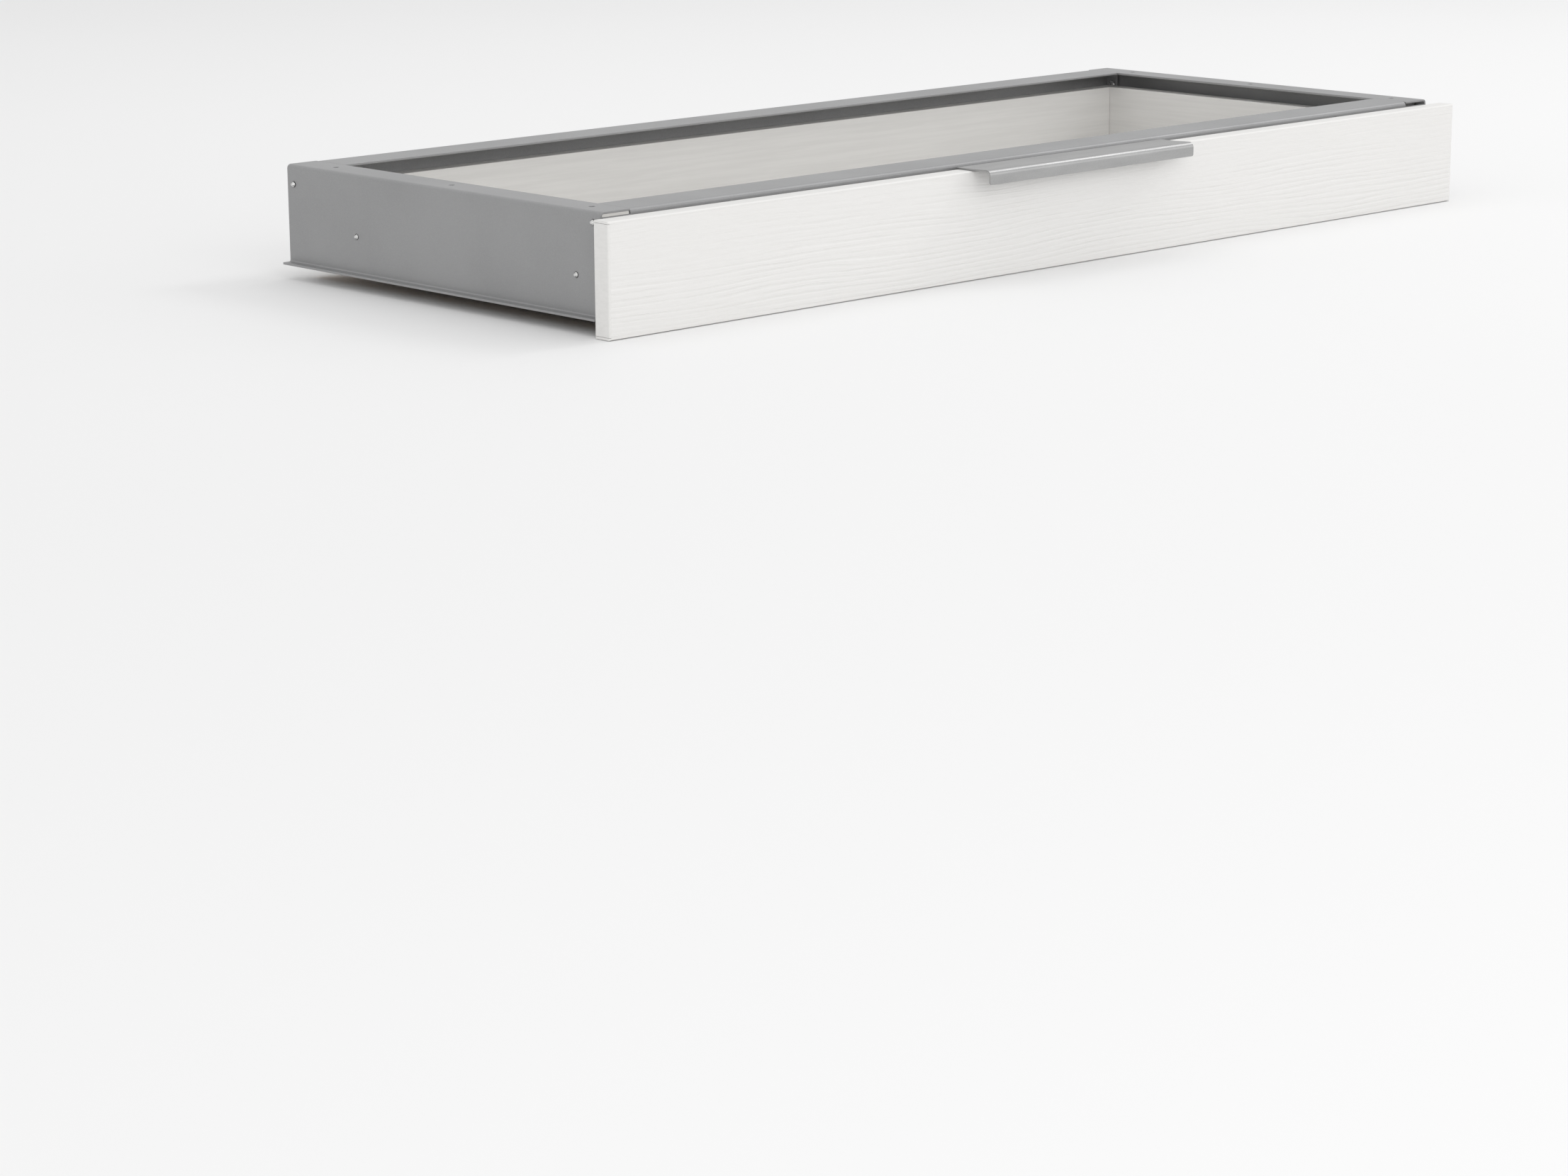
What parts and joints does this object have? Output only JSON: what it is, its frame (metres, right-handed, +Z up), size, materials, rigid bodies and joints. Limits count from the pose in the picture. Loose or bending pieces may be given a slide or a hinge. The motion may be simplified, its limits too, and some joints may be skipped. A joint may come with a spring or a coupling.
{
  "type": "under desk drawer",
  "caption": "Wide, shallow drawer that hangs under a desktop on a steel carrier and telescopic ball slides, with a wood-grain front and a bent metal edge pull.",
  "frame": {"origin": "middle of the front cross rail's top face, which lies against the underside of the desktop", "axes": "+Z up, towards the desktop; +X to the right seen from the front, along the drawer's width; the drawer opens towards -Y"},
  "size_m": [1.11, 0.4635, 0.1],
  "materials": {
    "front_decor": "matt white-grey decor with deep embossed wood grain along the drawer's width",
    "band_decor": "matt edge band in the colour of the front",
    "box_board": "pale grey melamine board with a fine grain",
    "thin_panel": "thin board with a smooth pale face",
    "satin_metal": "satin grey metal, finely blasted",
    "painted_steel": null,
    "zinc_steel": "bright zinc plate with drawing marks along the length",
    "retainer_steel": "thin greased spring steel",
    "screw_steel": "bright zinc plate",
    "black_plastic": "moulded black plastic",
    "grey_rubber": "soft grey rubber"
  },
  "bodies": {
    "carrier": {"hanger_left": "painted_steel", "hanger_right": "painted_steel", "cross_rail_front": "painted_steel", "cross_rail_rear": "painted_steel", "rail_screw_front_left": "screw_steel", "rail_screw_front_right": "screw_steel", "rail_screw_rear_left": "screw_steel", "rail_screw_rear_right": "screw_steel", "front_bumper_left": "grey_rubber", "front_bumper_right": "grey_rubber", "slide_outer_left": "zinc_steel", "slide_outer_right": "zinc_steel", "slide_outer_screw_front_left": "screw_steel", "slide_outer_screw_rear_left": "screw_steel", "slide_outer_screw_front_right": "screw_steel", "slide_outer_screw_rear_right": "screw_steel", "rear_buffer_left": "black_plastic", "rear_buffer_right": "black_plastic"},
    "drawer": {"drawer_front": "front_decor", "edge_band_top": "band_decor", "edge_band_bottom": "band_decor", "edge_band_left": "band_decor", "edge_band_right": "band_decor", "edge_pull": "satin_metal", "pull_screw_left": "screw_steel", "pull_screw_middle": "screw_steel", "pull_screw_right": "screw_steel", "box_side_left": "box_board", "box_side_right": "box_board", "box_front": "box_board", "box_back": "box_board", "box_bottom": "thin_panel", "bottom_rail": "zinc_steel", "front_screw_1": "screw_steel", "front_screw_2": "screw_steel", "front_screw_3": "screw_steel", "front_screw_4": "screw_steel", "corner_screw_front_upper_left": "screw_steel", "corner_screw_front_lower_left": "screw_steel", "corner_screw_back_upper_left": "screw_steel", "corner_screw_back_lower_left": "screw_steel", "corner_screw_front_upper_right": "screw_steel", "corner_screw_front_lower_right": "screw_steel", "corner_screw_back_upper_right": "screw_steel", "corner_screw_back_lower_right": "screw_steel", "slide_inner_left": "zinc_steel", "slide_inner_right": "zinc_steel", "slide_inner_screw_front_left": "screw_steel", "slide_inner_screw_rear_left": "screw_steel", "slide_inner_screw_front_right": "screw_steel", "slide_inner_screw_rear_right": "screw_steel"},
    "middle_left": {"slide_middle_left": "zinc_steel"},
    "middle_right": {"slide_middle_right": "zinc_steel"},
    "outer_balls_left": {"ball_retainer_outer_left": "retainer_steel"},
    "outer_balls_right": {"ball_retainer_outer_right": "retainer_steel"},
    "inner_balls_left": {"ball_retainer_inner_left": "retainer_steel"},
    "inner_balls_right": {"ball_retainer_inner_right": "retainer_steel"},
    "lever_left": {"release_lever_left": "black_plastic"},
    "lever_right": {"release_lever_right": "black_plastic"}
  },
  "joints": [
    {"name": "drawer_travel", "type": "slide", "parent": "carrier", "child": "drawer", "axis": [0, -1, 0], "range_m": [0, 0.4]},
    {"name": "middle_travel_left", "type": "slide", "parent": "carrier", "child": "middle_left", "axis": [0, -1, 0], "range_m": [0, 0.2]},
    {"name": "middle_travel_right", "type": "slide", "parent": "carrier", "child": "middle_right", "axis": [0, -1, 0], "range_m": [0, 0.2]},
    {"name": "outer_ball_travel_left", "type": "slide", "parent": "carrier", "child": "outer_balls_left", "axis": [0, -1, 0], "range_m": [0, 0.1]},
    {"name": "outer_ball_travel_right", "type": "slide", "parent": "carrier", "child": "outer_balls_right", "axis": [0, -1, 0], "range_m": [0, 0.1]},
    {"name": "inner_ball_travel_left", "type": "slide", "parent": "carrier", "child": "inner_balls_left", "axis": [0, -1, 0], "range_m": [0, 0.3]},
    {"name": "inner_ball_travel_right", "type": "slide", "parent": "carrier", "child": "inner_balls_right", "axis": [0, -1, 0], "range_m": [0, 0.3]},
    {"name": "release_left", "type": "hinge", "parent": "drawer", "child": "lever_left", "pos_m": [-0.53, 0.128, -0.054], "axis": [1, 0, 0], "range_deg": [0, 8], "stiffness_Nm_per_rad": 0.02},
    {"name": "release_right", "type": "hinge", "parent": "drawer", "child": "lever_right", "pos_m": [0.53, 0.128, -0.054], "axis": [1, 0, 0], "range_deg": [-8, 0], "stiffness_Nm_per_rad": 0.02}
  ],
  "couplings": [
    {"joint": "middle_travel_left", "follows": "drawer_travel", "ratio": 0.5},
    {"joint": "middle_travel_right", "follows": "drawer_travel", "ratio": 0.5},
    {"joint": "outer_ball_travel_left", "follows": "drawer_travel", "ratio": 0.25},
    {"joint": "outer_ball_travel_right", "follows": "drawer_travel", "ratio": 0.25},
    {"joint": "inner_ball_travel_left", "follows": "drawer_travel", "ratio": 0.75},
    {"joint": "inner_ball_travel_right", "follows": "drawer_travel", "ratio": 0.75}
  ]
}
